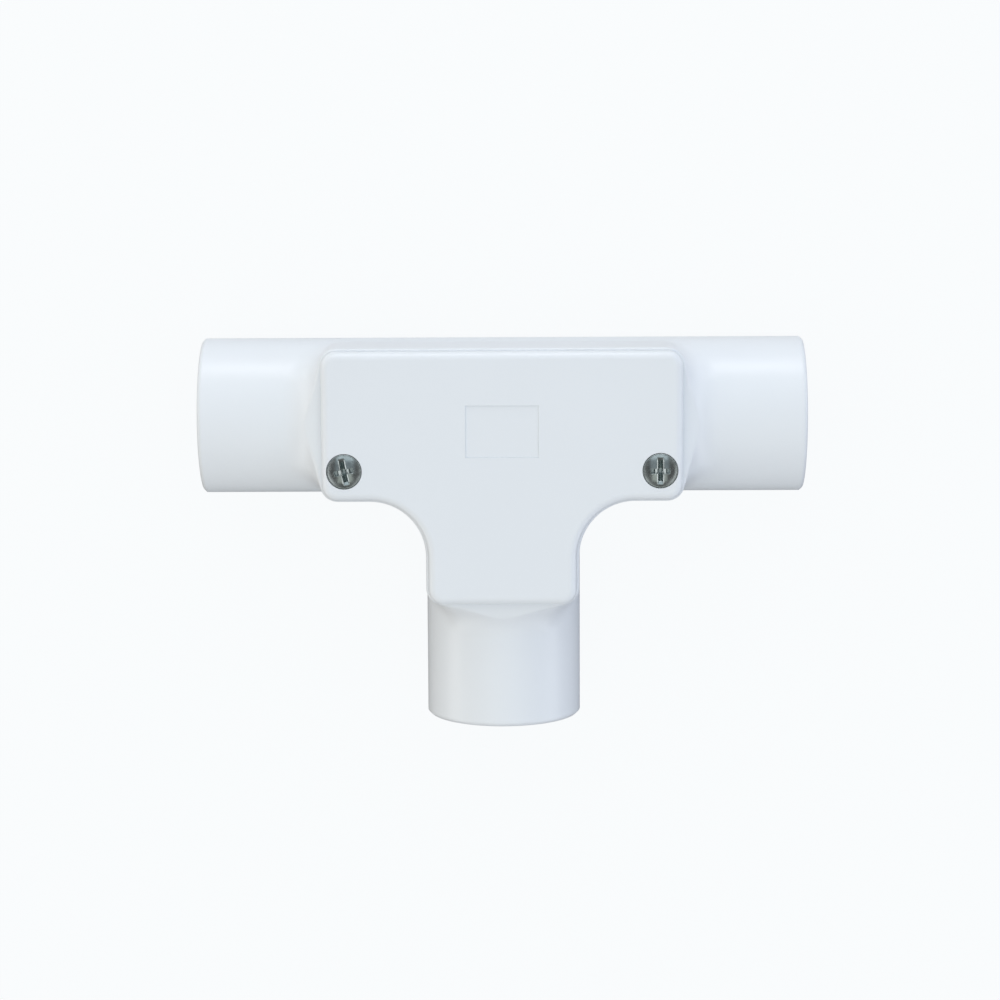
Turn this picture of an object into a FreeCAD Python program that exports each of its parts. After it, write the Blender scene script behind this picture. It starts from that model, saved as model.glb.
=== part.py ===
"""Inspection tee for 20 mm rigid conduit: a moulded tee body, its screwed lid and two lid screws.

The tee lies on its back. X runs along the through run, the branch points to -Y and the lid faces +Z.
Each piece is drawn about the point where the run's and the branch's axes cross, or about its own
seat, and is then placed so that the origin lies under the middle of the tee, on the surface it
rests on. Lengths are millimetres.
"""
import FreeCAD, Part
import math
import os
import Sketcher
from FreeCAD import Placement, Rotation, Vector

DRIVING_SIZES = (
    ("socket_outer_radius", 12.25, "outside of the three conduit sockets"),
    ("bore_radius", 10.1, "inside of a socket, over a 20 mm conduit"),
    ("passage_radius", 9.0, "hole through the stop that the conduit butts against"),
    ("run_half_length", 47.5, "middle of the tee to either mouth of the run"),
    ("branch_reach", 48.2, "axis of the run to the mouth of the branch"),
    ("stop_web", 1.25, "thickness of the conduit stops"),
    ("mouth_lead_in", 0.5, "bevel inside each mouth"),
    ("mouth_bevel", 0.4, "bevel outside each mouth"),
    ("box_half_length", 28.35, "middle of the tee to the end walls of the box"),
    ("stem_reach", 28.4, "axis of the run to the end wall of the box's stem"),
    ("wall_setback", 0.3, "how far the box's side walls stand inside the sockets' outside"),
    ("wall_thickness", 2.1, "walls of the box and of its round back"),
    ("rim_rise", 1.55, "height of the box's rim over the sockets' crowns"),
    ("rim_bevel", 0.3, "bevel of the rim's outer edge"),
    ("cove_radius", 8.7, "sweep between the run and the branch, at the box's wall"),
    ("corner_radius", 2.75, "outer corners of the box, seen from the lid"),
    ("chamber_corner_radius", 0.8, "inner corners of the box"),
    ("foot_blend_radius", 5.5, "hollow between the box's walls and the sockets"),
    ("screw_end_inset", 3.9, "screws to the box's end walls"),
    ("screw_side_inset", 5.05, "screws to the box's long side wall"),
    ("pillar_radius", 3.0, "pillars that take the screws"),
    ("pillar_bite", 0.5, "how far the pillars run into the walls"),
    ("pilot_depth", 7.4, "depth of the screw holes in the pillars"),
    ("thread_clearance", 0.05, "screw to its hole, all round"),
    ("lid_inset", 0.4, "lid's edge inside the box's outside"),
    ("lid_thickness", 2.1, "lid's plate"),
    ("lid_edge_rounding", 1.2, "rounding round the lid's face"),
    ("lip_depth", 1.6, "locating lip under the lid"),
    ("lip_wall", 1.1, "thickness of the locating lip"),
    ("lip_clearance", 0.15, "lip to the box's inner wall"),
    ("lip_pillar_gap", 0.4, "lip's ends to the screw pillars"),
    ("panel_half_width", 5.65, "shallow bare panel in the lid's face, across"),
    ("panel_half_height", 4.05, "shallow bare panel in the lid's face, up and down"),
    ("panel_offset", 0.75, "middle of the panel below the run's axis"),
    ("panel_depth", 0.15, "depth of the panel"),
    ("head_radius", 2.65, "screw's head"),
    ("head_height", 1.75, "screw's head, to the top of its dome"),
    ("head_side_height", 0.95, "straight side of the screw's head"),
    ("head_bevel", 0.3, "bevel between the head's side and its dome"),
    ("head_seat_depth", 1.0, "seat for the head, sunk in the lid"),
    ("head_clearance", 0.12, "head to the side of its seat"),
    ("shank_radius", 1.45, "screw's shank"),
    ("shank_length", 8.0, "screw under its head"),
    ("shank_tip", 0.6, "bevel at the screw's tip"),
    ("shank_hole_clearance", 0.2, "shank to its hole in the lid"),
    ("slot_half_length", 2.1, "long slot in the screw's head"),
    ("slot_half_width", 0.5, "long slot in the screw's head"),
    ("slot_depth", 0.75, "long slot, from the top of the dome"),
    ("cross_half_length", 1.55, "cross recess in the screw's head"),
    ("cross_half_width", 0.42, "arms of the cross recess"),
    ("cross_depth", 1.15, "cross recess, from the top of the dome"),
    ("left_screw_turn", 12.0, "degrees that the left screw's slot stands off the branch's line"),
)

# Two coordinates closer than this are the same, and edges further than CLEAR_OF_AXIS above the
# sockets' axes belong to the foot of the box and not to its underside.
SAME = 1e-4
CLEAR_OF_AXIS = 0.05


class Size:
    """A length that knows both its number and the spreadsheet expression that gives it."""

    def __init__(self, text, number):
        self.text = text
        self.number = number

    def __add__(self, other):
        other = as_size(other)
        return Size("(%s + %s)" % (self.text, other.text), self.number + other.number)

    def __sub__(self, other):
        other = as_size(other)
        return Size("(%s - %s)" % (self.text, other.text), self.number - other.number)

    def __mul__(self, factor):
        if isinstance(factor, Size):
            return Size("(%s * %s)" % (self.text, factor.text), self.number * factor.number)
        return Size("(%s * %r)" % (self.text, factor), self.number * factor)

    def __truediv__(self, other):
        return Size("(%s / %s)" % (self.text, other.text), self.number / other.number)

    def __neg__(self):
        return Size("(-%s)" % self.text, -self.number)


def as_size(value):
    """A plain number of millimetres as a Size, or the Size itself."""
    if isinstance(value, Size):
        return value
    return Size("%r mm" % value, value)


def smallest(*choices):
    """The smallest of several lengths, worked out again whenever one of them changes."""
    return Size("min(%s)" % "; ".join(choice.text for choice in choices), min(c.number for c in choices))


def make_sheet(document):
    """The spreadsheet of driving sizes: name, number and meaning in columns A, B and C."""
    sheet = document.addObject("Spreadsheet::Sheet", "Sizes")
    for row, (alias, number, meaning) in enumerate(DRIVING_SIZES, start=1):
        sheet.set("A%d" % row, alias)
        sheet.set("B%d" % row, "%r" % number)
        sheet.set("C%d" % row, meaning)
        sheet.setAlias("B%d" % row, alias)
    document.recompute()
    return sheet


document = FreeCAD.newDocument("inspection_tee")
sheet = make_sheet(document)


def size(alias):
    """A driving size as a length."""
    return Size("(Sizes.%s * 1 mm)" % alias, float(sheet.get(alias)))


def angle(alias):
    """A driving angle, in degrees."""
    return Size("(Sizes.%s * 1 deg)" % alias, float(sheet.get(alias)))


ZERO = as_size(0.0)
UPRIGHT = Size("0 deg", 0.0)

# Sizes of the box that follow from the driving ones, measured from the crossing of the axes.
box_half_width = size("socket_outer_radius") - size("wall_setback")
rim_height = size("socket_outer_radius") + size("rim_rise")

# The sweep between run and branch leaves room beside it for the end walls, the lid's lip inside them
# and the corners of the chamber and of the box.
beside_sweep = (
    size("wall_thickness") + size("lip_clearance") + size("lip_wall") + size("chamber_corner_radius")
    + size("corner_radius"))
sweep_radius = smallest(
    size("cove_radius"),
    size("box_half_length") - box_half_width - beside_sweep,
    size("stem_reach") - box_half_width - beside_sweep)
cove_centre = sweep_radius + box_half_width
chamber_half_length = size("box_half_length") - size("wall_thickness")
chamber_half_width = box_half_width - size("wall_thickness")
chamber_stem_reach = size("stem_reach") - size("wall_thickness")
chamber_radius = size("socket_outer_radius") - size("wall_thickness")
run_socket_depth = size("run_half_length") - chamber_half_length - size("stop_web")
branch_socket_depth = size("branch_reach") - chamber_stem_reach - size("stop_web")
screw_x = size("box_half_length") - size("screw_end_inset")
screw_y = size("screw_side_inset") - box_half_width
lid_top = rim_height + size("lid_thickness")
rest_height = size("socket_outer_radius")
middle_offset = (size("branch_reach") - size("socket_outer_radius")) * 0.5

# The box is first built up past its rim, as high as the hollow at its foot can reach.
blank_top = rim_height + size("foot_blend_radius")

# The ends of the rim fall away from the lid's edge in a round crown. At crown_reach * CROWN_MEETS it
# would run smoothly into the hollow at the box's foot, and a radius CROWN_EASE larger crosses it there.
CROWN_EASE = 1.1
CROWN_MEETS = 0.54
crown_reach = size("lid_inset") + size("foot_blend_radius")
crown_drop = size("foot_blend_radius") - size("rim_rise")
crown_square = crown_reach * crown_reach + crown_drop * crown_drop - (
    size("foot_blend_radius") * size("foot_blend_radius"))
crown_radius = crown_square / (size("rim_rise") * 2) * CROWN_EASE


def bind(target, path, value):
    """Tie a property or a sketch's constraint to the spreadsheet."""
    target.setExpression(path, value.text)


def new_body(label):
    """An empty body for one moulded or turned piece."""
    body = document.addObject("PartDesign::Body", label)
    body.Label = label
    return body


def place(body, x, y, z, turn=UPRIGHT):
    """Put a finished piece where it belongs in the tee, turned about the upright axis."""
    turned = Rotation(Vector(0, 0, 1), turn.number)
    body.Placement = Placement(Vector(x.number, y.number, z.number), turned)
    bind(body, "Placement.Base.x", x)
    bind(body, "Placement.Base.y", y)
    bind(body, "Placement.Base.z", z)
    bind(body, "Placement.Rotation.Angle", turn)
    document.recompute()


def new_sketch(body, name, role, offset=None):
    """A sketch on one of the body's own origin planes, or at a distance along its normal."""
    plane = next(feature for feature in body.Origin.OriginFeatures if feature.Role == role)
    sketch = body.newObject("Sketcher::SketchObject", name)
    sketch.AttachmentSupport = [(plane, "")]
    sketch.MapMode = "FlatFace"
    if offset is not None:
        bind(sketch, "AttachmentOffset.Base.z", offset)
    return sketch


def constrain(sketch, kind, *references, length=None):
    """Add a constraint, bound to the spreadsheet where it has a length."""
    if length is None:
        sketch.addConstraint(Sketcher.Constraint(kind, *references))
        return
    index = sketch.addConstraint(Sketcher.Constraint(kind, *references, length.number))
    bind(sketch, "Constraints[%d]" % index, length)


def fix_coordinate(sketch, kind, geometry, point, coordinate):
    """Hold a point of a sketch at one coordinate, DistanceX or DistanceY, from the sketch's origin."""
    if coordinate.number < 0:
        constrain(sketch, kind, geometry, point, -1, 1, length=-coordinate)
    else:
        constrain(sketch, kind, -1, 1, geometry, point, length=coordinate)


def fix_point(sketch, geometry, point, x, y):
    """Hold a point of a sketch at (x, y) from the sketch's origin."""
    fix_coordinate(sketch, "DistanceX", geometry, point, x)
    fix_coordinate(sketch, "DistanceY", geometry, point, y)


def draw_polygon(sketch, corners):
    """A closed outline of straight lines, each corner held by its own two lengths."""
    points = [Vector(x.number, y.number, 0) for x, y in corners]
    first = sketch.GeometryCount
    count = len(points)
    for index, point in enumerate(points):
        sketch.addGeometry(Part.LineSegment(point, points[(index + 1) % count]), False)
    for index, (x, y) in enumerate(corners):
        constrain(sketch, "Coincident", first + (index - 1) % count, 2, first + index, 1)
        fix_point(sketch, first + index, 1, x, y)


def draw_circle(sketch, x, y, radius):
    """A full circle about (x, y)."""
    circle = Part.Circle(Vector(x.number, y.number, 0), Vector(0, 0, 1), radius.number)
    geometry = sketch.addGeometry(circle, False)
    constrain(sketch, "Radius", geometry, length=radius)
    fix_point(sketch, geometry, 3, x, y)


def draw_keyhole(sketch, x, radius, half_width, top):
    """Section of the box: round back of the given radius, straight walls up to a flat top."""
    spring = math.sqrt(radius.number ** 2 - half_width.number ** 2)
    right, left = x + half_width, x - half_width
    lift = math.atan2(spring, half_width.number)
    low_right = Vector(right.number, spring, 0)
    high_right = Vector(right.number, top.number, 0)
    high_left = Vector(left.number, top.number, 0)
    low_left = Vector(left.number, spring, 0)
    back = Part.Circle(Vector(x.number, 0, 0), Vector(0, 0, 1), radius.number)
    wall_right = sketch.addGeometry(Part.LineSegment(low_right, high_right), False)
    lintel = sketch.addGeometry(Part.LineSegment(high_right, high_left), False)
    wall_left = sketch.addGeometry(Part.LineSegment(high_left, low_left), False)
    arc = sketch.addGeometry(Part.ArcOfCircle(back, math.pi - lift, 2 * math.pi + lift), False)
    constrain(sketch, "Coincident", wall_right, 2, lintel, 1)
    constrain(sketch, "Coincident", lintel, 2, wall_left, 1)
    constrain(sketch, "Coincident", wall_left, 2, arc, 1)
    constrain(sketch, "Coincident", arc, 2, wall_right, 1)
    constrain(sketch, "Vertical", wall_right)
    constrain(sketch, "Vertical", wall_left)
    constrain(sketch, "Radius", arc, length=radius)
    fix_point(sketch, arc, 3, x, ZERO)
    fix_point(sketch, wall_right, 2, right, top)
    fix_point(sketch, wall_left, 1, left, top)


def draw_crown(sketch, start, side):
    """Side view of what is cut off one end of the rim, outwards from the lid's edge at start."""
    centre_height = rim_height - crown_radius
    meeting = (start + crown_reach * CROWN_MEETS) * side
    outside = (start + crown_reach) * side
    start = start * side
    centre = Vector(start.number, centre_height.number, 0)
    lean = math.acos((meeting.number - start.number) / crown_radius.number)
    meeting_height = centre_height.number + crown_radius.number * math.sin(lean)
    first, last = sorted((lean, math.pi / 2))
    crown = Part.ArcOfCircle(Part.Circle(centre, Vector(0, 0, 1), crown_radius.number), first, last)
    points = [Vector(x, y, 0) for x, y in (
        (start.number, rim_height.number),
        (start.number, blank_top.number),
        (outside.number, blank_top.number),
        (outside.number, meeting_height),
        (meeting.number, meeting_height),
    )]
    arc = sketch.addGeometry(crown, False)
    sides = [sketch.addGeometry(Part.LineSegment(a, b), False) for a, b in zip(points, points[1:])]
    top_end, foot_end = (2, 1) if side > 0 else (1, 2)
    constrain(sketch, "Radius", arc, length=crown_radius)
    fix_point(sketch, arc, 3, start, centre_height)
    constrain(sketch, "Coincident", arc, top_end, sides[0], 1)
    constrain(sketch, "Coincident", arc, foot_end, sides[-1], 2)
    for line, following in zip(sides, sides[1:]):
        constrain(sketch, "Coincident", line, 2, following, 1)
    for index in (0, 2):
        constrain(sketch, "Vertical", sides[index])
    for index in (1, 3):
        constrain(sketch, "Horizontal", sides[index])
    fix_point(sketch, sides[1], 2, outside, blank_top)
    fix_coordinate(sketch, "DistanceX", arc, foot_end, meeting)


def draw_tee(sketch, half_length, half_width, stem):
    """Outline of the tee-shaped box or lid with sharp corners, seen from the lid."""
    draw_polygon(sketch, (
        (half_length, half_width),
        (-half_length, half_width),
        (-half_length, -half_width),
        (-half_width, -half_width),
        (-half_width, -stem),
        (half_width, -stem),
        (half_width, -half_width),
        (half_length, -half_width),
    ))


def add_pad(body, name, sketch, length, symmetric=False, downward=False):
    """Extrude a sketch along its normal, both ways by halves, or against the normal."""
    pad = body.newObject("PartDesign::Pad", name)
    pad.Profile = sketch
    pad.SideType = "Symmetric" if symmetric else "One side"
    pad.Reversed = downward
    bind(pad, "Length", length)
    document.recompute()
    return pad


def add_pocket(body, name, sketch, length, symmetric=False, upward=False):
    """Cut a sketch's outline out of the piece, against its normal unless upward."""
    before = body.Tip.Shape.Volume
    pocket = body.newObject("PartDesign::Pocket", name)
    pocket.Profile = sketch
    pocket.SideType = "Symmetric" if symmetric else "One side"
    pocket.Reversed = upward
    bind(pocket, "Length", length)
    document.recompute()
    if not pocket.Shape.Volume < before:
        raise RuntimeError("%s cuts nothing" % name)
    return pocket


def add_sweep_corner(body, kind, name, sketch):
    """Turn a section a quarter round the sketch's first construction line."""
    corner = body.newObject("PartDesign::" + kind, name)
    corner.Profile = sketch
    corner.ReferenceAxis = (sketch, ["Axis0"])
    corner.Angle = 90
    document.recompute()
    return corner


def add_mirror(body, name, feature):
    """Repeat a feature on the other side of the branch's middle plane."""
    plane = next(item for item in body.Origin.OriginFeatures if item.Role == "YZ_Plane")
    mirror = body.newObject("PartDesign::Mirrored", name)
    mirror.Originals = [feature]
    mirror.MirrorPlane = (plane, [""])
    body.Tip = mirror
    document.recompute()
    return mirror


def edge_points(edge):
    """Five points spread evenly along an edge."""
    step = (edge.LastParameter - edge.FirstParameter) / 4.0
    return [edge.valueAt(edge.FirstParameter + step * count) for count in range(5)]


def dress_edges(body, kind, name, length, chosen):
    """Fillet or chamfer the edges of the piece whose points all satisfy chosen(point)."""
    base = body.Tip
    names = []
    for number, edge in enumerate(base.Shape.Edges, start=1):
        if all(chosen(point) for point in edge_points(edge)):
            names.append("Edge%d" % number)
    if not names:
        raise RuntimeError("%s finds no edge" % name)
    feature = body.newObject("PartDesign::" + kind, name)
    feature.Base = (base, names)
    bind(feature, "Radius" if kind == "Fillet" else "Size", length)
    document.recompute()
    return feature


def near(value, target):
    """Whether two coordinates are the same to a hair."""
    return abs(value - target) < SAME


def at_tee_corner(point, half_length, half_width, stem):
    """Whether a point lies on one of the six outer corner lines of a tee outline."""
    on_wing = near(abs(point.x), half_length.number) and near(abs(point.y), half_width.number)
    on_stem = near(abs(point.x), half_width.number) and near(point.y, -stem.number)
    return on_wing or on_stem


def at_tee_cove(point, half_width):
    """Whether a point lies on one of the two inner corner lines of a tee outline."""
    return near(abs(point.x), half_width.number) and near(point.y, -half_width.number)


def add_keyhole_tee(body, prefix, cut, radius, half_width, top, half_length, stem):
    """Build up or hollow out the tee-shaped box: run, stem and the two swept corners."""
    extrude = add_pocket if cut else add_pad
    run = new_sketch(body, prefix + "RunSection", "YZ_Plane")
    draw_keyhole(run, ZERO, radius, half_width, top)
    extrude(body, prefix + "Run", run, half_length * 2, symmetric=True)
    branch = new_sketch(body, prefix + "StemSection", "XZ_Plane")
    draw_keyhole(branch, ZERO, radius, half_width, top)
    if cut:
        add_pocket(body, prefix + "Stem", branch, stem, upward=True)
    else:
        add_pad(body, prefix + "Stem", branch, stem)
    corner = new_sketch(body, prefix + "CornerSection", "XZ_Plane", offset=cove_centre)
    draw_keyhole(corner, ZERO, radius, half_width, top)
    axis = Part.LineSegment(Vector(cove_centre.number, top.number, 0), Vector(cove_centre.number, 0, 0))
    pivot = corner.addGeometry(axis, True)
    fix_point(corner, pivot, 1, cove_centre, top)
    fix_point(corner, pivot, 2, cove_centre, ZERO)
    kind = "Groove" if cut else "Revolution"
    sweep = add_sweep_corner(body, kind, prefix + "Corner", corner)
    add_mirror(body, prefix + "OtherCorner", sweep)


def make_tee_body():
    """The moulded body: round sockets, the tee-shaped box they run into, stops and screw pillars."""
    body = new_body("tee_body")
    outer = size("socket_outer_radius")
    add_keyhole_tee(
        body, "Box", False, outer, box_half_width, blank_top, size("box_half_length"), size("stem_reach"))
    dress_edges(
        body, "Fillet", "BoxCorners", size("corner_radius"),
        lambda point: at_tee_corner(point, size("box_half_length"), box_half_width, size("stem_reach")))

    run = new_sketch(body, "RunTube", "YZ_Plane")
    draw_circle(run, ZERO, ZERO, outer)
    add_pad(body, "Run", run, size("run_half_length") * 2, symmetric=True)
    branch = new_sketch(body, "BranchTube", "XZ_Plane")
    draw_circle(branch, ZERO, ZERO, outer)
    add_pad(body, "Branch", branch, size("branch_reach"))

    # The walls run down into the sockets in a hollow, and the rim is then cut level through it.
    dress_edges(
        body, "Fillet", "FootBlend", size("foot_blend_radius"),
        lambda point: CLEAR_OF_AXIS < point.z < outer.number + SAME
        and abs(point.x) < size("box_half_length").number + SAME
        and point.y > -size("stem_reach").number - SAME)
    blend = size("foot_blend_radius")
    blank = new_sketch(body, "AboveRim", "XY_Plane", offset=rim_height)
    draw_polygon(blank, (
        (size("box_half_length") + blend, box_half_width + blend),
        (-(size("box_half_length") + blend), box_half_width + blend),
        (-(size("box_half_length") + blend), -(size("stem_reach") + blend)),
        (size("box_half_length") + blend, -(size("stem_reach") + blend)),
    ))
    add_pocket(body, "RimCut", blank, blank_top, upward=True)
    dress_edges(
        body, "Chamfer", "RimEdge", size("rim_bevel"),
        lambda point: near(point.z, rim_height.number))
    crown_tee_body(body)

    hollow_tee_body(body)
    finish_mouths(body)
    place(body, ZERO, middle_offset, rest_height)
    return body


def crown_tee_body(body):
    """The three ends of the rim, rounded off from the lid's edge towards the sockets."""
    width = (box_half_width + size("foot_blend_radius")) * 2
    crown = new_sketch(body, "RunCrownSection", "XZ_Plane")
    draw_crown(crown, size("box_half_length") - size("lid_inset"), 1)
    right_crown = add_pocket(body, "RunCrown", crown, width, symmetric=True)
    add_mirror(body, "OtherRunCrown", right_crown)
    crown = new_sketch(body, "BranchCrownSection", "YZ_Plane")
    draw_crown(crown, size("stem_reach") - size("lid_inset"), -1)
    add_pocket(body, "BranchCrown", crown, width, symmetric=True)


def hollow_tee_body(body):
    """The chamber, open at the rim, with two screw pillars, and the sockets behind their stops."""
    add_keyhole_tee(
        body, "Chamber", True, chamber_radius, chamber_half_width, rim_height,
        chamber_half_length, chamber_stem_reach)
    dress_edges(
        body, "Fillet", "ChamberCorners", size("chamber_corner_radius"),
        lambda point: at_tee_corner(point, chamber_half_length, chamber_half_width, chamber_stem_reach))

    pillar = new_sketch(body, "PillarSection", "XY_Plane")
    draw_pillar(pillar)
    right_pillar = add_pad(body, "Pillar", pillar, rim_height)
    add_mirror(body, "OtherPillar", right_pillar)

    run = new_sketch(body, "RunPassageSection", "YZ_Plane")
    draw_circle(run, ZERO, ZERO, size("passage_radius"))
    add_pocket(body, "RunPassage", run, size("run_half_length") * 2, symmetric=True)
    branch = new_sketch(body, "BranchPassageSection", "XZ_Plane")
    draw_circle(branch, ZERO, ZERO, size("passage_radius"))
    add_pocket(body, "BranchPassage", branch, size("branch_reach"), upward=True)

    socket = new_sketch(body, "RunSocketSection", "YZ_Plane", offset=size("run_half_length"))
    draw_circle(socket, ZERO, ZERO, size("bore_radius"))
    right_socket = add_pocket(body, "RunSocket", socket, run_socket_depth)
    add_mirror(body, "OtherRunSocket", right_socket)
    socket = new_sketch(body, "BranchSocketSection", "XZ_Plane", offset=size("branch_reach"))
    draw_circle(socket, ZERO, ZERO, size("bore_radius"))
    add_pocket(body, "BranchSocket", socket, branch_socket_depth)

    pilot = new_sketch(body, "PilotSection", "XY_Plane", offset=rim_height)
    for x in (screw_x, -screw_x):
        draw_circle(pilot, x, screw_y, size("shank_radius") + size("thread_clearance"))
    add_pocket(body, "PilotHoles", pilot, size("pilot_depth"))


def draw_pillar(sketch):
    """Section of the right screw pillar: it fills the box's corner and is round on its free side."""
    radius = size("pillar_radius")
    outer_x = chamber_half_length + size("pillar_bite")
    outer_y = -(chamber_half_width + size("pillar_bite"))
    left = screw_x - radius
    high = screw_y + radius
    centre = Vector(screw_x.number, screw_y.number, 0)
    round_side = Part.ArcOfCircle(Part.Circle(centre, Vector(0, 0, 1), radius.number), math.pi / 2, math.pi)
    corners = ((left, screw_y), (left, outer_y), (outer_x, outer_y), (outer_x, high), (screw_x, high))
    points = [Vector(x.number, y.number, 0) for x, y in corners]
    arc = sketch.addGeometry(round_side, False)
    sides = [sketch.addGeometry(Part.LineSegment(a, b), False) for a, b in zip(points, points[1:])]
    constrain(sketch, "Radius", arc, length=radius)
    fix_point(sketch, arc, 3, screw_x, screw_y)
    constrain(sketch, "Tangent", arc, 2, sides[0], 1)
    constrain(sketch, "Tangent", arc, 1, sides[-1], 2)
    for side, following in zip(sides, sides[1:]):
        constrain(sketch, "Coincident", side, 2, following, 1)
    for index in (0, 2):
        constrain(sketch, "Vertical", sides[index])
    for index in (1, 3):
        constrain(sketch, "Horizontal", sides[index])
    fix_point(sketch, sides[1], 2, outer_x, outer_y)


def finish_mouths(body):
    """Bevel the three mouths inside and outside."""
    ends = (size("run_half_length").number, -size("branch_reach").number)

    def on_mouth(point, radius):
        if near(abs(point.x), ends[0]):
            return near(math.hypot(point.y, point.z), radius)
        return near(point.y, ends[1]) and near(math.hypot(point.x, point.z), radius)

    dress_edges(
        body, "Chamfer", "MouthBevels", size("mouth_lead_in"),
        lambda point: on_mouth(point, size("bore_radius").number))
    dress_edges(
        body, "Chamfer", "MouthEdges", size("mouth_bevel"),
        lambda point: on_mouth(point, size("socket_outer_radius").number))


def make_inspection_lid():
    """The lid: a tee-shaped plate with a rounded face, a locating lip, screw seats and a bare panel."""
    body = new_body("inspection_lid")
    inset = size("lid_inset")
    half_length = size("box_half_length") - inset
    half_width = box_half_width - inset
    stem = size("stem_reach") - inset
    plate = new_sketch(body, "PlateOutline", "XY_Plane")
    draw_tee(plate, half_length, half_width, stem)
    add_pad(body, "Plate", plate, size("lid_thickness"))
    dress_edges(
        body, "Fillet", "PlateCorners", size("corner_radius") - inset,
        lambda point: at_tee_corner(point, half_length, half_width, stem))
    dress_edges(
        body, "Fillet", "PlateCoves", sweep_radius + inset,
        lambda point: at_tee_cove(point, half_width))
    dress_edges(
        body, "Fillet", "PlateEdge", size("lid_edge_rounding"),
        lambda point: near(point.z, size("lid_thickness").number))
    add_locating_lip(body)

    panel = new_sketch(body, "PanelOutline", "XY_Plane", offset=size("lid_thickness"))
    high = size("panel_half_height") - size("panel_offset")
    low = -(size("panel_half_height") + size("panel_offset"))
    side = size("panel_half_width")
    draw_polygon(panel, ((side, high), (-side, high), (-side, low), (side, low)))
    add_pocket(body, "Panel", panel, size("panel_depth"))

    holes = new_sketch(body, "ScrewHoles", "XY_Plane", offset=size("lid_thickness"))
    seats = new_sketch(body, "ScrewSeats", "XY_Plane", offset=size("lid_thickness"))
    for x in (screw_x, -screw_x):
        draw_circle(holes, x, screw_y, size("shank_radius") + size("shank_hole_clearance"))
        draw_circle(seats, x, screw_y, size("head_radius") + size("head_clearance"))
    add_pocket(body, "Holes", holes, size("lid_thickness") + size("lip_depth"))
    add_pocket(body, "Seats", seats, size("head_seat_depth"))
    place(body, ZERO, middle_offset, rest_height + rim_height)
    return body


def add_locating_lip(body):
    """The lip under the lid that drops inside the box's walls, cut away round the screw pillars."""
    clearance = size("lip_clearance")
    depth = size("lip_depth")
    half_length = chamber_half_length - clearance
    half_width = chamber_half_width - clearance
    stem = chamber_stem_reach - clearance
    wall = size("lip_wall")
    ring = new_sketch(body, "LipOutline", "XY_Plane")
    draw_tee(ring, half_length, half_width, stem)
    draw_tee(ring, half_length - wall, half_width - wall, stem - wall)
    add_pad(body, "Lip", ring, depth, downward=True)
    dress_edges(
        body, "Fillet", "LipCorners", size("chamber_corner_radius"),
        lambda point: point.z < SAME and at_tee_corner(point, half_length, half_width, stem))
    outer_cove = sweep_radius + size("wall_thickness") + clearance
    dress_edges(
        body, "Fillet", "LipOuterCoves", outer_cove,
        lambda point: point.z < SAME and at_tee_cove(point, half_width))
    dress_edges(
        body, "Fillet", "LipInnerCoves", outer_cove + wall,
        lambda point: point.z < SAME and at_tee_cove(point, half_width - wall))
    gap = size("lip_pillar_gap")
    window = new_sketch(body, "PillarWindow", "XY_Plane")
    left = screw_x - size("pillar_radius") - gap
    high = screw_y + size("pillar_radius") + gap
    right = chamber_half_length + gap
    low = -(chamber_half_width + gap)
    draw_polygon(window, ((left, low), (right, low), (right, high), (left, high)))
    draw_polygon(window, ((-right, low), (-left, low), (-left, high), (-right, high)))
    add_pocket(body, "PillarWindows", window, depth)


def make_screw(label, side, turn):
    """A lid screw: domed pan head with a long slot crossed by a short one, plain shank, bevelled tip."""
    body = new_body(label)
    radius = size("shank_radius")
    tip = size("shank_tip")
    length = size("shank_length")
    profile = new_sketch(body, label + "_profile", "XZ_Plane")
    draw_screw_profile(profile, radius, tip, length)
    turned = body.newObject("PartDesign::Revolution", label + "_turned")
    turned.Profile = profile
    turned.ReferenceAxis = (profile, ["V_Axis"])
    turned.Angle = 360
    document.recompute()
    dress_edges(
        body, "Chamfer", label + "_shoulder", size("head_bevel"),
        lambda point: near(point.z, size("head_side_height").number)
        and near(math.hypot(point.x, point.y), size("head_radius").number))
    for name, half_length, half_width, depth in (
            ("slot", size("slot_half_width"), size("slot_half_length"), size("slot_depth")),
            ("cross", size("cross_half_length"), size("cross_half_width"), size("cross_depth")),
            ("cross_upright", size("cross_half_width"), size("cross_half_length"), size("cross_depth"))):
        recess = new_sketch(body, label + "_" + name, "XY_Plane", offset=size("head_height"))
        draw_polygon(recess, (
            (half_length, half_width),
            (-half_length, half_width),
            (-half_length, -half_width),
            (half_length, -half_width),
        ))
        add_pocket(body, label + "_" + name + "_recess", recess, depth)
    seat_height = rest_height + lid_top - size("head_seat_depth")
    place(body, screw_x if side > 0 else -screw_x, middle_offset + screw_y, seat_height, turn)
    return body


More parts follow.
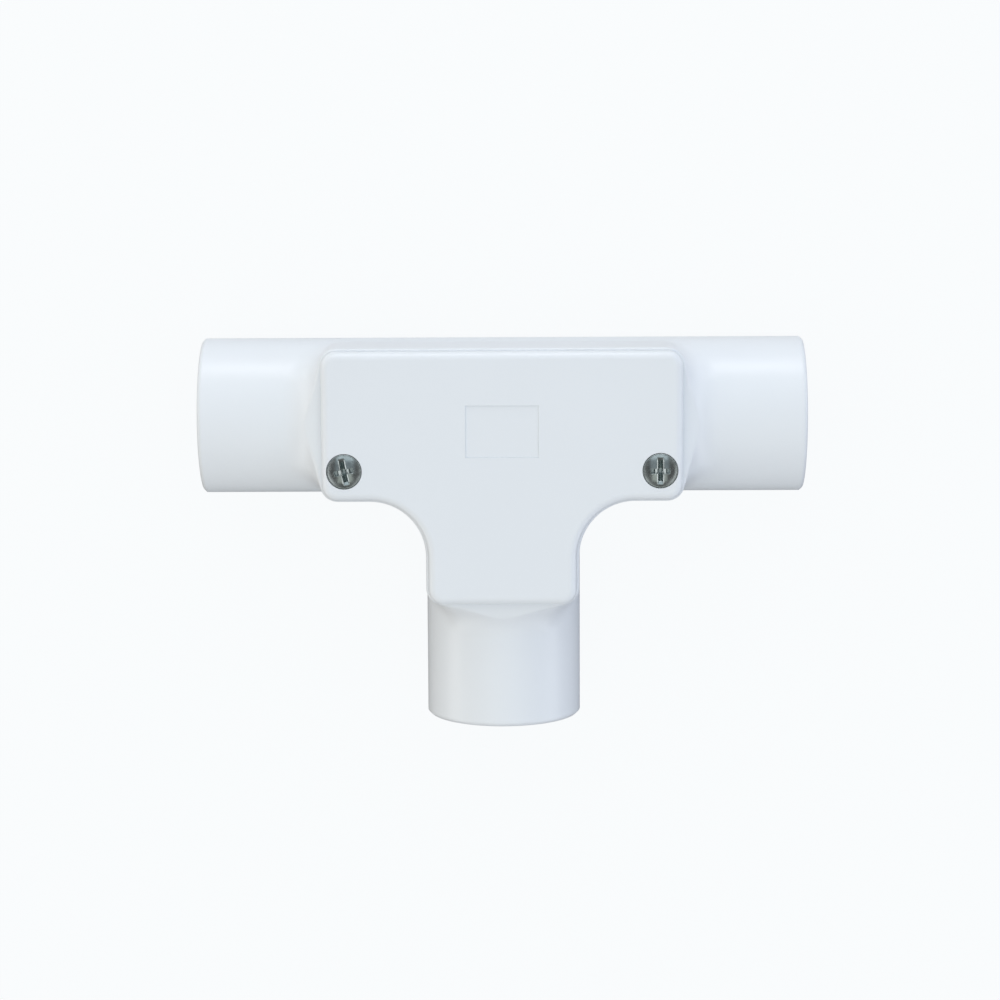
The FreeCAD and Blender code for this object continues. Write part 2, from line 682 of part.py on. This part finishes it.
def draw_screw_profile(sketch, radius, tip, length):
    """Half section of the screw about the upright axis, with the head's underside at height 0."""
    head = size("head_radius")
    side_height = size("head_side_height")
    height = size("head_height")
    corners = (
        (ZERO, height),
        (ZERO, -length),
        (radius - tip, -length),
        (radius, tip - length),
        (radius, ZERO),
        (head, ZERO),
        (head, side_height),
    )
    points = [Vector(x.number, y.number, 0) for x, y in corners]
    lines = [sketch.addGeometry(Part.LineSegment(a, b), False) for a, b in zip(points, points[1:])]
    for line, following in zip(lines, lines[1:]):
        constrain(sketch, "Coincident", line, 2, following, 1)
    for line, (x, y) in zip(lines, corners):
        fix_point(sketch, line, 1, x, y)
    fix_point(sketch, lines[-1], 2, head, side_height)
    rise = height.number - side_height.number
    dome_radius = (head.number ** 2 + rise ** 2) / (2 * rise)
    dome_circle = Part.Circle(Vector(0, height.number - dome_radius, 0), Vector(0, 0, 1), dome_radius)
    start = math.atan2(side_height.number - height.number + dome_radius, head.number)
    dome = sketch.addGeometry(Part.ArcOfCircle(dome_circle, start, math.pi / 2), False)
    constrain(sketch, "Coincident", lines[-1], 2, dome, 1)
    constrain(sketch, "Coincident", dome, 2, lines[0], 1)
    constrain(sketch, "PointOnObject", dome, 3, -2)


pieces = (
    make_tee_body(),
    make_inspection_lid(),
    make_screw("left_screw", -1, angle("left_screw_turn")),
    make_screw("right_screw", 1, UPRIGHT),
)

for item in document.Objects:
    if "Invalid" in item.State or "Error" in item.State:
        raise RuntimeError("%s failed: %s" % (item.Label, item.State))
for piece in pieces:
    if piece.Shape.isNull() or not piece.Shape.isValid() or len(piece.Shape.Solids) != 1:
        raise RuntimeError("%s is not one sound solid" % piece.Label)

os.makedirs("parts", exist_ok=True)
for piece in pieces:
    piece.Shape.exportStep("parts/%s.step" % piece.Label)
    box = piece.Shape.BoundBox
    print("%-16s %9.1f mm3  X %.2f..%.2f  Y %.2f..%.2f  Z %.2f..%.2f" % (
        piece.Label, piece.Shape.Volume, box.XMin, box.XMax, box.YMin, box.YMax, box.ZMin, box.ZMax))
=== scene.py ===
"""Inspection tee for 20 mm conduit: white moulded body, screwed lid and two zinc-plated screws.

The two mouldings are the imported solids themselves, finished as satin white plastic. The screws are
worked out here, with their pressed recess and their thread. Lengths are in metres.
"""
import math

import bpy
import numpy as np
from mathutils import Matrix, Vector


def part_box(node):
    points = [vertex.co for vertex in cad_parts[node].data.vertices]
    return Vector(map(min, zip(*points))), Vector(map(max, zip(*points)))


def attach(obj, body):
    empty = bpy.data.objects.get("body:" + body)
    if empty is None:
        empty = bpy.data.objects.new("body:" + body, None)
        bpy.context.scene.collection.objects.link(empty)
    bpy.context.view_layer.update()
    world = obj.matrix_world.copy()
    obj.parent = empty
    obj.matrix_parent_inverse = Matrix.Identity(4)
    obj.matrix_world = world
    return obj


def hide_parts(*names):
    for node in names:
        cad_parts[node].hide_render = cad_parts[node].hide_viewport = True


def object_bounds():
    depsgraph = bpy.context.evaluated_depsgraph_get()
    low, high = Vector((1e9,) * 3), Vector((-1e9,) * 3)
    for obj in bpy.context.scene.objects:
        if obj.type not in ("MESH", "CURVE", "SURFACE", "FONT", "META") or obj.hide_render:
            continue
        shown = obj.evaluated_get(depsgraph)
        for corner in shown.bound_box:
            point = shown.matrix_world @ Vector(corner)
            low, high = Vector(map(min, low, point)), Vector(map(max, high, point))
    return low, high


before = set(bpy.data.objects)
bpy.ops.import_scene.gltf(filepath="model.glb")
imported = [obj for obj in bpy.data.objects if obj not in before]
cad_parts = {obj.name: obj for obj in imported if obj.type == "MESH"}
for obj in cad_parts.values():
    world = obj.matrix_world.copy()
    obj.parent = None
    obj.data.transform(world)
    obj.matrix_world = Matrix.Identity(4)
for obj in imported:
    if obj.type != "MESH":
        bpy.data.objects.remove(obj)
cad_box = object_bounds()

# The moulded body. One shot of white PVC: three sockets that run into a tee-shaped box with a round
# back. The mould was polished, so the skin is satin with a faint orange peel.
millimetre = 0.001
body_white = (0.75, 0.80, 0.845)
body_roughness = 0.325
body_peel_size = 1.4 * millimetre
body_edge_softness = 0.8 * millimetre
plastic_ior = 1.53
peel_depth = 0.004 * millimetre
drifts_per_metre = 55.0
roughness_drift = 0.03
darkest_skin = 0.985
lightest_skin = 1.01


def shade_of(colour, brightness=1.0):
    """The colour times a brightness, at most white, as a node's socket takes it."""
    return [min(channel * brightness, 1.0) for channel in colour] + [1.0]


def cloudy(tree, per_metre, detail):
    """Noise from 0 to 1 that is fixed to the piece, with so many blotches to the metre."""
    place = tree.nodes.new("ShaderNodeTexCoord")
    noise = tree.nodes.new("ShaderNodeTexNoise")
    noise.inputs["Scale"].default_value = per_metre
    noise.inputs["Detail"].default_value = detail
    tree.links.new(place.outputs["Object"], noise.inputs["Vector"])
    return noise.outputs["Fac"]


def ramp(tree, value, low, high, start=0.0, end=1.0):
    """A number that goes evenly from low to high as value goes from start to end, and stops there."""
    node = tree.nodes.new("ShaderNodeMapRange")
    node.inputs["From Min"].default_value = start
    node.inputs["From Max"].default_value = end
    node.inputs["To Min"].default_value = low
    node.inputs["To Max"].default_value = high
    tree.links.new(value, node.inputs["Value"])
    return node.outputs["Result"]


def clouded_colour(tree, share, colour, darkest, lightest):
    """The colour, from darkest times itself where share is 0 to lightest times itself where it is 1."""
    tone = tree.nodes.new("ShaderNodeMixRGB")
    tone.inputs["Color1"].default_value = shade_of(colour, darkest)
    tone.inputs["Color2"].default_value = shade_of(colour, lightest)
    tree.links.new(share, tone.inputs["Fac"])
    return tone.outputs["Color"]


def moulded_plastic(name, colour, roughness, peel_size, edge_softness):
    """White moulded plastic: roughness and tone that drift over centimetres, and fine orange peel.

    The drift is a broad noise that moves the roughness by up to roughness_drift either way. The peel
    is a fine noise that bends the normal as a height field peel_depth deep would. Edges shade as if
    they were rounded over edge_softness, as moulded edges are.
    """
    material = bpy.data.materials.new(name)
    material.use_nodes = True
    tree = material.node_tree
    shader = tree.nodes["Principled BSDF"]
    shader.inputs["IOR"].default_value = plastic_ior
    drift = cloudy(tree, drifts_per_metre, 3.0)
    finish = ramp(tree, drift, roughness - roughness_drift, roughness + roughness_drift)
    tree.links.new(finish, shader.inputs["Roughness"])
    skin = clouded_colour(tree, drift, colour, darkest_skin, lightest_skin)
    tree.links.new(skin, shader.inputs["Base Color"])

    edges = tree.nodes.new("ShaderNodeBevel")
    edges.samples = 8
    edges.inputs["Radius"].default_value = edge_softness
    bump = tree.nodes.new("ShaderNodeBump")
    bump.inputs["Strength"].default_value = 1.0
    bump.inputs["Distance"].default_value = peel_depth
    tree.links.new(cloudy(tree, 1.0 / peel_size, 2.0), bump.inputs["Height"])
    tree.links.new(edges.outputs["Normal"], bump.inputs["Normal"])
    tree.links.new(bump.outputs["Normal"], shader.inputs["Normal"])
    return material


def finish_moulding(name, material):
    """Give every material slot of a packed moulding one material."""
    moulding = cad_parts[name]
    if not moulding.material_slots:
        moulding.data.materials.append(material)
    for slot in moulding.material_slots:
        slot.material = material


finish_moulding("tee_body", moulded_plastic(
    "white_body_plastic", body_white, body_roughness, body_peel_size, body_edge_softness))

# The lid. A separate moulding of the same PVC, from a mould with a slightly duller face. It is held
# by the two screws, and its crisp edges stand on the body's rim.
lid_white = (0.74, 0.79, 0.835)
lid_roughness = 0.34
lid_peel_size = 0.9 * millimetre
lid_edge_softness = 0.05 * millimetre
finish_moulding("inspection_lid", moulded_plastic(
    "white_lid_plastic", lid_white, lid_roughness, lid_peel_size, lid_edge_softness))

# The lid screws. Steel, cold-headed with a combined slot and cross recess, thread-rolled with a coarse
# thread for plastic, then zinc plated and passivated to a dull grey green.
head_radius = 2.65 * millimetre
head_height = 1.75 * millimetre
head_side_height = 0.95 * millimetre
head_rounding = 0.14 * millimetre
head_lower_bevel = 0.06 * millimetre
neck_fillet = 0.2 * millimetre
shank_length = 8.0 * millimetre
shank_top = 0.25 * millimetre
tip_bevel = 0.6 * millimetre
thread_start = 0.3 * millimetre
thread_full = 1.0 * millimetre
thread_crest = 1.44 * millimetre
thread_root = 1.12 * millimetre
thread_pitch = 1.06 * millimetre
thread_half_width = 0.24 * millimetre
slot_half_length = 2.1 * millimetre
slot_half_width = 0.58 * millimetre
slot_depth = 1.4 * millimetre
slot_side_lip = 0.17 * millimetre
slot_end_lip = 0.46 * millimetre
slot_wall = 0.36 * millimetre
slot_floor_slope = 2.0
flat_middle_reach = 0.3 * millimetre
flat_middle_end = 0.6 * millimetre
cross_half_length = 1.5 * millimetre
cross_half_width = 0.42 * millimetre
cross_depth = 0.85 * millimetre
cross_lip = 0.02 * millimetre
cross_wall = 0.14 * millimetre
ridge_reach = 0.82 * millimetre
ridge_depth = 0.26 * millimetre
ridge_run = 0.2 * millimetre
side_slope = 0.8
end_slope = 0.95
zinc_grey = (0.49, 0.54, 0.54)
darkest_zinc = 0.75
lightest_zinc = 1.3
smoothest_zinc = 0.18
roughest_zinc = 0.32
zinc_cloud_size = 0.7 * millimetre


def soft_step(value, start, end):
    """0 before start, 1 after end, and a smooth S between them."""
    share = np.clip((value - start) / (end - start), 0.0, 1.0)
    return share * share * (3.0 - 2.0 * share)


def pressed(heights, along, across, half_length, half_width, end_lip, side_lip, wall, floor):
    """Heights with a rectangle pressed in: a sloping lip, then a steeper wall down to the floor.

    At each edge the drop is slope * distance as far as the lip goes, and the wall takes it deeper
    within its own width. The smaller drop of the nearest side and end counts.
    """
    side = half_width - np.abs(across)
    end = half_length - np.abs(along)
    side_drop = side_slope * np.clip(side, 0.0, side_lip)
    side_drop += head_height * soft_step(side, side_lip, side_lip + wall)
    end_drop = end_slope * np.clip(end, 0.0, end_lip)
    end_drop += head_height * soft_step(end, end_lip, end_lip + wall)
    return np.maximum(heights - np.minimum(side_drop, end_drop), np.minimum(heights, floor))


def recess_heights(x, y, dome):
    """Height of the head's top at (x, y): the dome, with the slot and the cross pressed into it.

    The slot's floor is a narrow V, flat in the middle. Each arm of the cross is deep at its end,
    rises to a ridge beside the slot, and from there slopes down to the middle, where the driver's
    point goes. The deeper of slot and cross counts.
    """
    slot_floor = head_height - slot_depth
    slot_floor += slot_floor_slope * np.abs(x) * soft_step(np.abs(y), flat_middle_reach, flat_middle_end)
    heights = pressed(dome, y, x, slot_half_length, slot_half_width, slot_end_lip, slot_side_lip,
                      slot_wall, slot_floor)
    for along, across in ((x, y), (y, x)):
        reach = np.abs(along)
        inner = ridge_depth + side_slope * np.clip(ridge_reach - reach, 0.0, ridge_reach)
        outer = (cross_depth - ridge_depth) * soft_step(reach, ridge_reach, ridge_reach + ridge_run)
        arm = pressed(dome, along, across, cross_half_length, cross_half_width, cross_lip, cross_lip,
                      cross_wall, head_height - inner - outer)
        heights = np.minimum(heights, arm)
    return heights


def screw_surface(turns=288, crown_rings=90, corner_rings=9, thread_rings=220):
    """One grid from the middle of the head's top to the middle of the screw's tip.

    A row is a ring about the axis. On the crown its height follows the dome and the recess; on the
    side and below it the rings follow the profile; on the shank the radius rises to the thread's
    crest wherever the distance to the helix z = pitch * (angle / turn) is small.
    """
    angle = np.linspace(0.0, 2.0 * math.pi, turns, endpoint=False)[None, :]
    all_round = np.zeros_like(angle)
    rise = head_height - head_side_height
    dome_radius = (head_radius ** 2 + rise ** 2) / (2.0 * rise)
    shoulder = head_radius - head_rounding

    ring = np.linspace(0.002, 1.0, crown_rings)[:, None] * shoulder
    dome = head_height - dome_radius + np.sqrt(dome_radius ** 2 - ring ** 2) + all_round
    crown_radius = ring + all_round
    crown_height = recess_heights(ring * np.cos(angle), ring * np.sin(angle), dome)

    corner = np.linspace(0.0, math.pi / 2.0, corner_rings)[1:, None]
    drop = float(dome[-1, 0]) - head_side_height
    side_radius = shoulder + head_rounding * np.sin(corner) + all_round
    side_height = head_side_height + drop * np.cos(corner) + all_round

    lower = np.array([(head_radius, head_lower_bevel), (head_radius - head_lower_bevel, 0.0),
                      (thread_root + neck_fillet, 0.0), (thread_root, -neck_fillet)])
    lower_radius = lower[:, :1] + all_round
    lower_height = lower[:, 1:] + all_round

    below_head = np.linspace(shank_top, shank_length, thread_rings)[:, None]
    shank_height = -below_head + all_round
    phase = (shank_height / thread_pitch - angle / (2.0 * math.pi)) % 1.0
    gap = np.minimum(phase, 1.0 - phase) * thread_pitch
    ridge = np.clip(1.0 - gap / thread_half_width, 0.0, 1.0)
    fade = soft_step(below_head, thread_start, thread_full)
    threaded_radius = thread_root + (thread_crest - thread_root) * ridge * fade
    tip_limit = thread_crest - np.clip(below_head - (shank_length - tip_bevel), 0.0, tip_bevel)
    shank_radius = np.minimum(threaded_radius, tip_limit)

    radii = np.vstack((crown_radius, side_radius, lower_radius, shank_radius))
    heights = np.vstack((crown_height, side_height, lower_height, shank_height))
    return np.stack((radii * np.cos(angle), radii * np.sin(angle), heights), axis=-1)


def grid_mesh(name, points):
    """Mesh of a grid of rings, closed around and by a fan at each end, with its faces outwards."""
    rings, turns = points.shape[:2]
    poles = np.array([[0.0, 0.0, points[0, :, 2].mean()], [0.0, 0.0, points[-1, :, 2].mean()]])
    vertices = np.vstack((points.reshape(-1, 3), poles))
    row, column = np.meshgrid(np.arange(rings - 1), np.arange(turns), indexing="ij")
    following = (column + 1) % turns
    quads = np.stack((row * turns + column, (row + 1) * turns + column,
                      (row + 1) * turns + following, row * turns + following), axis=-1)
    around = np.arange(turns)
    beyond = (around + 1) % turns
    top = np.stack((np.full(turns, rings * turns), around, beyond), axis=-1)
    last = (rings - 1) * turns
    bottom = np.stack((np.full(turns, rings * turns + 1), last + beyond, last + around), axis=-1)
    mesh = bpy.data.meshes.new(name)
    mesh.from_pydata(vertices.tolist(), [], quads.reshape(-1, 4).tolist() + top.tolist() + bottom.tolist())
    mesh.polygons.foreach_set("use_smooth", np.ones(len(mesh.polygons), dtype=bool))
    mesh.update()
    return mesh


def zinc_plating(name):
    """Passivated zinc on steel: grey green metal, cloudy in tone and polish over tenths of a millimetre."""
    material = bpy.data.materials.new(name)
    material.use_nodes = True
    tree = material.node_tree
    shader = tree.nodes["Principled BSDF"]
    shader.inputs["Metallic"].default_value = 1.0
    cloud = cloudy(tree, 1.0 / zinc_cloud_size, 5.0)
    tone = clouded_colour(tree, cloud, zinc_grey, darkest_zinc, lightest_zinc)
    tree.links.new(tone, shader.inputs["Base Color"])
    tree.links.new(ramp(tree, cloud, smoothest_zinc, roughest_zinc), shader.inputs["Roughness"])
    return material


screw_points = screw_surface()
zinc = zinc_plating("zinc_plated_steel")
for node, riding, turn in (("left_screw", "left_lid_screw", 12.0), ("right_screw", "right_lid_screw", 0.0)):
    low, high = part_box(node)
    seat = Vector(((low.x + high.x) / 2.0, (low.y + high.y) / 2.0, low.z + shank_length))
    mesh = grid_mesh(node + "_threaded", screw_points)
    mesh.transform(Matrix.Translation(seat) @ Matrix.Rotation(math.radians(turn), 4, "Z"))
    screw = bpy.data.objects.new(node + "_threaded", mesh)
    bpy.context.scene.collection.objects.link(screw)
    mesh.materials.append(zinc)
    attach(screw, riding)
    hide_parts(node)

# The table top. White card under the tee, which shows nearly white in the picture and still takes the tee's
# shadow.
# In the tee's gloss it glows instead, as a painted reflection: faint on the branch's side, bright towards
# the window.
card_white = (0.68, 0.69, 0.70)
glow_white = (0.97, 0.99, 1.0)
glow_share = 0.94
# Painted reflection: the card's glow in the tee's gloss, faint on the branch's side and bright towards the
# window, changing across this band of the card.
near_painted_reflection = 0.1
far_painted_reflection = 1.3
painted_reflection_start = 10.0 * millimetre
painted_reflection_end = 60.0 * millimetre


def emission(tree, colour, strength=None):
    """A glow of one colour, as strong as the output that is given, or else 1."""
    glow = tree.nodes.new("ShaderNodeEmission")
    glow.inputs["Color"].default_value = shade_of(colour)
    if strength:
        tree.links.new(strength, glow.inputs["Strength"])
    return glow.outputs["Emission"]


def either(tree, share, first, second):
    """The first shader where share is 0, the second where it is 1."""
    mix = tree.nodes.new("ShaderNodeMixShader")
    tree.links.new(share, mix.inputs["Fac"])
    tree.links.new(first, mix.inputs[1])
    tree.links.new(second, mix.inputs[2])
    return mix.outputs["Shader"]


def table_top(name, size):
    """Card that glows by glow_share for the camera, and scatters light for everything else.

    In the tee's gloss it glows instead, as a painted reflection: faint on the branch's side, rising across a
    band of the card to bright towards the window.
    """
    reach = size / 2.0
    corners = [(-reach, -reach, 0.0), (reach, -reach, 0.0), (reach, reach, 0.0), (-reach, reach, 0.0)]
    mesh = bpy.data.meshes.new(name)
    mesh.from_pydata(corners, [], [(0, 1, 2, 3)])
    material = bpy.data.materials.new(name)
    material.use_nodes = True
    tree = material.node_tree
    tree.nodes.clear()
    card = tree.nodes.new("ShaderNodeBsdfDiffuse")
    card.inputs["Color"].default_value = shade_of(card_white)
    path = tree.nodes.new("ShaderNodeLightPath")
    in_picture = ramp(tree, path.outputs["Is Camera Ray"], 0.0, glow_share)
    seen = either(tree, in_picture, card.outputs["BSDF"], emission(tree, glow_white))

    place = tree.nodes.new("ShaderNodeTexCoord")
    apart = tree.nodes.new("ShaderNodeSeparateXYZ")
    tree.links.new(place.outputs["Object"], apart.inputs["Vector"])
    # The painted reflection, a glow that only gloss sees, rising across the card towards the window.
    strength = ramp(tree, apart.outputs["Y"], near_painted_reflection, far_painted_reflection, painted_reflection_start, painted_reflection_end)
    painted_reflection_glow = emission(tree, glow_white, strength)
    surface = either(tree, path.outputs["Is Glossy Ray"], seen, painted_reflection_glow)
    output = tree.nodes.new("ShaderNodeOutputMaterial")
    tree.links.new(surface, output.inputs["Surface"])
    mesh.materials.append(material)
    table = bpy.data.objects.new(name, mesh)
    bpy.context.scene.collection.objects.link(table)
    return table


table_top("table_top", 6.0)

# The lamps. Broad ones overhead, behind the run and in front, a bright window low behind the run, and
# small coloured fills, warm from the left and blue from the right, that gloss and metal don't show.
socket_radius = 12.25 * millimetre
axes_cross = Vector((0.0, cad_box[1].y - socket_radius, socket_radius))
lamp_distance = 0.85


def softbox(name, place, target, width, height, power, colour, shines):
    """A rectangular lamp at a place, facing a target, which gloss and metal show only if it shines."""
    lamp = bpy.data.lights.new(name, "AREA")
    lamp.shape = "RECTANGLE"
    lamp.size = width
    lamp.size_y = height
    lamp.energy = power
    lamp.color = colour
    holder = bpy.data.objects.new(name, lamp)
    holder.visible_glossy = shines
    holder.location = place
    holder.rotation_euler = (target - place).to_track_quat("-Z", "Y").to_euler()
    bpy.context.scene.collection.objects.link(holder)


for name, way, width, height, power, colour, shines in (
        ("overhead", (0.0, 0.3, 0.95), 1.2, 1.0, 0.86, (0.76, 0.91, 1.0), True),
        ("far", (0.0, 0.8, 0.6), 1.0, 0.5, 0.86, (0.83, 0.94, 1.0), True),
        ("far_low", (0.0, 0.97, 0.25), 0.9, 0.3, 0.74, (0.94, 0.96, 1.0), True),
        ("window", (0.0, 0.99, 0.13), 0.34, 0.22, 0.72, (0.97, 0.95, 1.0), True),
        ("left", (-0.75, -0.1, 0.66), 0.4, 0.4, 0.53, (1.0, 0.9, 0.66), False),
        ("left_low", (-0.97, 0.0, 0.22), 0.4, 0.3, 0.36, (1.0, 0.55, 0.05), False),
        ("right", (0.8, -0.1, 0.6), 0.36, 0.36, 0.48, (0.55, 0.75, 1.0), False),
        ("right_low", (0.97, 0.0, 0.22), 0.4, 0.3, 0.24, (0.0, 0.1, 1.0), False),
        ("near", (0.0, -0.5, 0.87), 0.8, 0.6, 0.76, (0.95, 1.0, 0.92), True)):
    softbox(name, axes_cross + Vector(way) * lamp_distance, axes_cross, width, height, power, colour, shines)

# The room. It lights the tee evenly from all round. Gloss and metal show pale walls under a dim
# ceiling, with no wall on the branch's side, and the picture shows a white backdrop.
room_white = (1.0, 0.98, 0.985)
room_light = 0.72
gloss_white = (0.8, 0.8, 0.8)
ceiling_gloss = 0.12
wall_gloss = 1.9
walls_top = 0.5
walls_bright_below = 0.25
near_side_end = -0.95
near_side_start = -0.6
backdrop_white = (0.965, 0.985, 1.0)


def background(tree, colour):
    """A new background shader of one colour."""
    shader = tree.nodes.new("ShaderNodeBackground")
    shader.inputs["Color"].default_value = shade_of(colour)
    return shader


def studio_room(name):
    """World that differs for the camera, for gloss and for the light that the tee scatters.

    For gloss its strength is ceiling_gloss, and wall_gloss where the direction's Z is under
    walls_bright_below and its Y is over near_side_start, with an even change at either limit.
    """
    world = bpy.data.worlds.new(name)
    world.use_nodes = True
    tree = world.node_tree
    room = tree.nodes["Background"]
    room.inputs["Color"].default_value = shade_of(room_white)
    room.inputs["Strength"].default_value = room_light
    way = tree.nodes.new("ShaderNodeTexCoord")
    axes = tree.nodes.new("ShaderNodeSeparateXYZ")
    tree.links.new(way.outputs["Generated"], axes.inputs["Vector"])
    walls = tree.nodes.new("ShaderNodeMath")
    walls.operation = "MULTIPLY"
    low = ramp(tree, axes.outputs["Z"], 0.0, 1.0, walls_top, walls_bright_below)
    far = ramp(tree, axes.outputs["Y"], 0.0, 1.0, near_side_end, near_side_start)
    tree.links.new(low, walls.inputs[0])
    tree.links.new(far, walls.inputs[1])
    mirrored = background(tree, gloss_white)
    strength = ramp(tree, walls.outputs["Value"], ceiling_gloss, wall_gloss)
    tree.links.new(strength, mirrored.inputs["Strength"])
    backdrop = background(tree, backdrop_white)
    path = tree.nodes.new("ShaderNodeLightPath")
    lit = either(tree, path.outputs["Is Glossy Ray"],
                 room.outputs["Background"], mirrored.outputs["Background"])
    surface = either(tree, path.outputs["Is Camera Ray"], lit, backdrop.outputs["Background"])
    tree.links.new(surface, tree.nodes["World Output"].inputs["Surface"])
    return world


bpy.context.scene.world = studio_room("studio")
bpy.context.scene.view_settings.view_transform = "Standard"

# The camera. It looks down on the tee as it lies, 9 degrees off square towards the back of the run,
# and the crossing of the axes stands a little above the picture's middle.
camera_tilt = math.radians(8.84)
camera_yaw = math.radians(-0.55)
camera_roll = math.radians(0.21)
camera_distance = 0.4617
crossing_right = 0.428 * millimetre
crossing_up = 13.691 * millimetre
sensor_width = 36.0
focal_length = 104.234
turned = (Matrix.Rotation(camera_roll, 3, "Z") @ Matrix.Rotation(camera_yaw, 3, "Y")
          @ Matrix.Rotation(camera_tilt, 3, "X"))
eye = axes_cross - turned.transposed() @ Vector((crossing_right, crossing_up, -camera_distance))
camera_data = bpy.data.cameras.new("camera")
camera_data.sensor_width = sensor_width
camera_data.lens = focal_length
camera = bpy.data.objects.new("camera", camera_data)
camera.matrix_world = Matrix.Translation(eye) @ turned.transposed().to_4x4()
bpy.context.scene.collection.objects.link(camera)
bpy.context.scene.camera = camera
